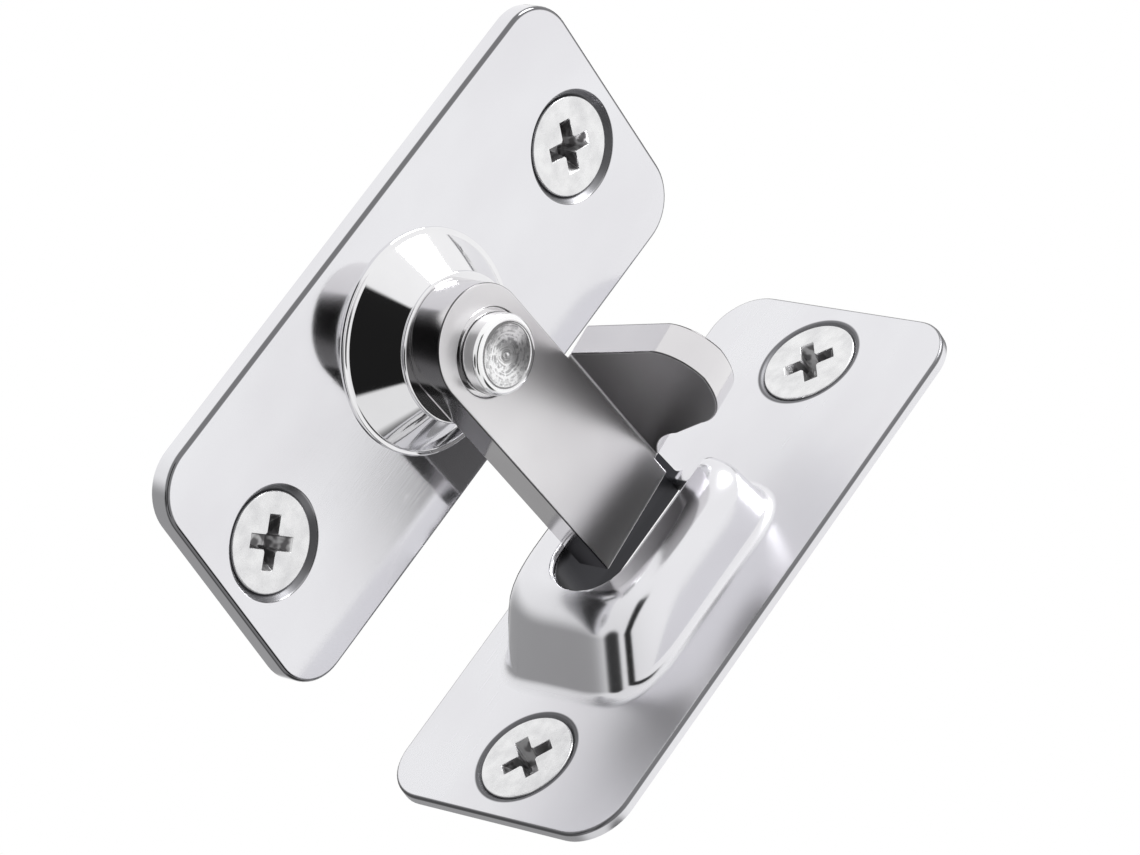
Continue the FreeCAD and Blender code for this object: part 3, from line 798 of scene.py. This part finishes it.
def bar_steel():
    """A satin face, brushed across, on bright sides.

    The tab's underside is painted dark as shade, darkest at its root. The bar's back is painted
    dark as shade, the lower part of its round end carries a painted dark reflection, and painted
    dark reflections run along the front and the tab's lower and top edges."""
    bright, smeared = (0.80, 0.79, 0.80, 1), (0.72, 0.705, 0.72, 1)
    tab_root_shade, tab_tip_shade = (0.16, 0.155, 0.16, 1), (0.50, 0.49, 0.50, 1)
    shade_and_reflection_dark, edge_reflection_dark = (0.06, 0.058, 0.06, 1), (0.05, 0.048, 0.05, 1)
    steel = Steel("satin_bar_steel")
    up = steel.z * math.cos(BAR_LIFT) - steel.x * math.sin(BAR_LIFT)
    lines = steel.noise(12.0, (0.03, 1, 1), 3.0)
    smears = steel.noise(0.12, (1, 1, 1), 2.0)
    behind = steel.y - BAR_FRONT
    in_front = 1 - steel.fade(behind, -0.2, -0.05)
    under_tab = in_front * (1 - steel.fade(up, TAB_UNDER + 0.04, TAB_UNDER + 0.16))
    face = (1 - steel.fade(behind, 0.01, 0.1)) * (1 - in_front)
    tone = steel.mix(steel.ramp(smears, (0.3, 0.0), (0.75, 0.9)), bright, smeared)
    # painted shade: the tab's underside is darkened, most at its root by the bar
    tab_underside_shade = steel.mix(steel.fade(-1 * steel.y, 8.5, 21.0), tab_root_shade, tab_tip_shade)
    tone = steel.mix(under_tab, tone, tab_underside_shade)
    # painted shade on the bar's back, and a painted dark reflection on the lower part of its round
    # end
    back = steel.fade(steel.y, BAR_BACK - 0.06, BAR_BACK - 0.01)
    end = (1 - steel.fade(steel.x, -0.3, 0.6)) * (1 - steel.fade(up, -2.2, -0.8)) * (1 - face)
    tone = steel.mix(back * 0.75 + end * 0.9 * (1 - back), tone, shade_and_reflection_dark)
    # painted reflection: dark lines along the broken edges, where they would mirror something dark
    front_line = steel.fade(behind, 0.01, 0.04) * (1 - steel.fade(behind, 0.12, 0.17))
    tab_line = in_front * steel.fade(up, TAB_UNDER + 0.01, TAB_UNDER + 0.04)
    tab_line = tab_line * (1 - steel.fade(up, TAB_UNDER + 0.11, TAB_UNDER + 0.15))
    tab_top = in_front * steel.fade(up, TAB_TOP - 0.15, TAB_TOP - 0.11)
    tone = steel.mix((front_line + tab_line + tab_top) * 0.9, tone, edge_reflection_dark)
    rough = 0.09 + (face + under_tab) * 0.20 + lines * 0.03 + smears * 0.04
    return steel.finish(tone, rough, lines, 0.04)


def screw_steel():
    """Tumbled satin steel with fine pits; the cross recess is painted dark as shade, in patches."""
    bright, smeared, recess_shade = (0.86, 0.86, 0.865, 1), (0.70, 0.70, 0.71, 1), (0.23, 0.225, 0.23, 1)
    steel = Steel("satin_screw_steel")
    depth = steel.node("ShaderNodeAttribute", {"attribute_name": "recess_depth"}, output="Fac")
    pits = steel.noise(3.5, (1, 1, 1), 5.0, 0.6)
    smears = steel.noise(0.8, (1, 1, 1), 2.0)
    blobs = steel.noise(1.3, (1, 1, 1), 1.0)
    tone = steel.mix(steel.ramp(smears, (0.35, 0.0), (0.7, 0.8)), bright, smeared)
    # painted shade: the recess is darkened by its depth, broken by soft patches
    recess_shade_mask = steel.fade(depth, 0.0, 0.12) * (1 - steel.fade(blobs, 0.42, 0.58) * 0.62)
    tone = steel.mix(recess_shade_mask, tone, recess_shade)
    rough = 0.20 + pits * 0.12 + recess_shade_mask * 0.25
    return steel.finish(tone, rough, pits, 0.2)


def dress(piece, material, node, body):
    """Give a piece its finish and say what it stands for."""
    piece.data.materials.clear()
    piece.data.materials.append(material)
    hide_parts(node)
    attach(piece, body)


bolt_plate_finish = plate_steel("polished_bolt_plate_steel", 0.0, False)
keeper_finish = plate_steel("polished_keeper_steel", KEEPER_UP, True)
mirror_finish = mirror_steel()
screw_finish = screw_steel()

dress(make_bolt_plate(), bolt_plate_finish, "bolt_plate", "bolt_plate_body")
dress(make_pivot_post(), mirror_finish, "pivot_post", "bolt_plate_body")
dress(make_washer(), mirror_finish, "friction_washer", "bolt_plate_body")
dress(make_rivet(), rivet_steel(), "pivot_rivet", "bolt_plate_body")
dress(make_swing_bar(), bar_steel(), "swing_bar", "bar")
dress(make_keeper(), keeper_finish, "keeper_plate", "keeper")
for screw_node, screw_piece in place_screws().items():
    screw_body = "keeper" if "keeper" in screw_node else "bolt_plate_body"
    dress(screw_piece, screw_finish, screw_node, screw_body)


# ------------------------------------------------------------ studio and camera

FLOOR_WIDE, FLOOR_UP = 12, -0.55     # metres


def make_floor():
    """A pale floor, far enough down that low angles still see the latch."""
    settle()
    bpy.ops.mesh.primitive_plane_add(size=FLOOR_WIDE, location=(0, 0, FLOOR_UP))
    floor = bpy.context.active_object
    floor.name = "pale_floor"
    paint = bpy.data.materials.new("pale_floor_paint")
    paint.use_nodes = True
    shader = paint.node_tree.nodes["Principled BSDF"]
    shader.inputs["Base Color"].default_value = (0.86, 0.86, 0.86, 1)
    shader.inputs["Roughness"].default_value = 0.9
    floor.data.materials.append(paint)
    floor.visible_glossy = False


# What the metal mirrors: each panel's direction, the angles in degrees within which
# it is full and beyond which it is gone, and how dark it is.
DARK_PANELS = [
    ((0.62, 0.38, 0.69), 12, 24, 0.90),
    ((0.92, -0.08, -0.40), 12, 24, 0.85),
    ((0.30, 0.75, -0.60), 34, 58, 0.60),
    ((0.5896, -0.7041, 0.3967), 0.6, 0.95, 0.97),
    ((0.437, 0.812, 0.386), 8, 14, 0.95),
    ((0.65, -0.71, -0.26), 10, 18, 0.95),
    ((-0.45, 0.0, -0.89), 12, 20, 0.95),
]
# The black panel is cut down to a strip across a second direction.
BLACK_PANEL = ((-0.46, -0.71, -0.53), 41, 45, 0.985)
STRIP_ACROSS, STRIP_PLACE, STRIP_HALF, STRIP_GONE = (0.2607, -0.9482, 0.1810), 0.384, 0.12, 0.18
LEAST_LIGHT, LIGHT_FROM_ABOVE = 0.86, 0.16


def make_world():
    """A pale studio hung with dark panels that only the metal mirrors."""
    world = bpy.data.worlds.new("pale_studio")
    bpy.context.scene.world = world
    world.use_nodes = True
    sky = NodeTree(world.node_tree)
    way = sky.node("ShaderNodeTexCoord", output=0)
    up = sky.split(way)[2]

    def facing(direction):
        """The cosine of the angle off a direction."""
        return sky.node("ShaderNodeVectorMath", {"operation": "DOT_PRODUCT"}, {
            0: way, 1: Vector(direction).normalized()}, "Value")

    def panel(direction, full, gone, dark):
        """How much light a round panel with a soft edge takes away."""
        inside = sky.fade(
            facing(direction), math.cos(math.radians(gone)), math.cos(math.radians(full)))
        return inside * dark

    light = LEAST_LIGHT + sky.fade(up, -0.8, 0.7) * LIGHT_FROM_ABOVE
    for dark_panel in DARK_PANELS:
        light = light * (1 - panel(*dark_panel))
    off_strip = sky.node("ShaderNodeMath", {"operation": "ABSOLUTE"}, {
        0: facing(STRIP_ACROSS) - STRIP_PLACE})
    strip = 1 - sky.fade(off_strip, STRIP_HALF, STRIP_GONE)
    light = light * (1 - panel(*BLACK_PANEL) * strip)
    seen = sky.node("ShaderNodeLightPath", output=0)
    light = seen + (1 - seen) * light
    shade = sky.node("ShaderNodeCombineColor", {}, {"Red": light, "Green": light, "Blue": light})
    glow = sky.node("ShaderNodeBackground", {}, {"Color": shade, "Strength": 1.0})
    sky.node("ShaderNodeOutputWorld", {}, {"Surface": glow})


def soft_light(name, place, size, power):
    """A round soft lamp that is aimed at the latch."""
    middle = Vector((0.01, -0.008, 0.0))
    settle()
    bpy.ops.object.light_add(type="AREA", location=place)
    lamp = bpy.context.active_object
    lamp.name = name
    lamp.data.shape = "DISK"
    lamp.data.size = size
    lamp.data.energy = power
    aim = middle - Vector(place)
    lamp.rotation_euler = aim.to_track_quat("-Z", "Y").to_euler()


def make_camera():
    """The long lens looks up at the latch from its lower left."""
    right = Vector((0.457266, -0.708146, 0.537994))
    down = Vector((0.665904, -0.128342, -0.734915))
    ahead = Vector((0.589474, 0.694304, 0.412871))
    place = (-0.266736, -0.336380, -0.192535)
    lens = bpy.data.cameras.new("long_lens")
    lens.sensor_fit = "HORIZONTAL"
    lens.sensor_width = 36
    lens.lens = 187.27
    lens.clip_start, lens.clip_end = 0.01, 20
    camera = bpy.data.objects.new("long_lens", lens)
    bpy.context.collection.objects.link(camera)
    turn = Matrix((right, -down, -ahead)).transposed().to_4x4()
    camera.matrix_world = Matrix.Translation(place) @ turn
    bpy.context.scene.camera = camera


bpy.context.scene.view_settings.view_transform = "Standard"
make_floor()
make_world()
soft_light("key_softbox", (-0.25, -0.15, 0.55), 0.35, 3.0)
make_camera()
settle()
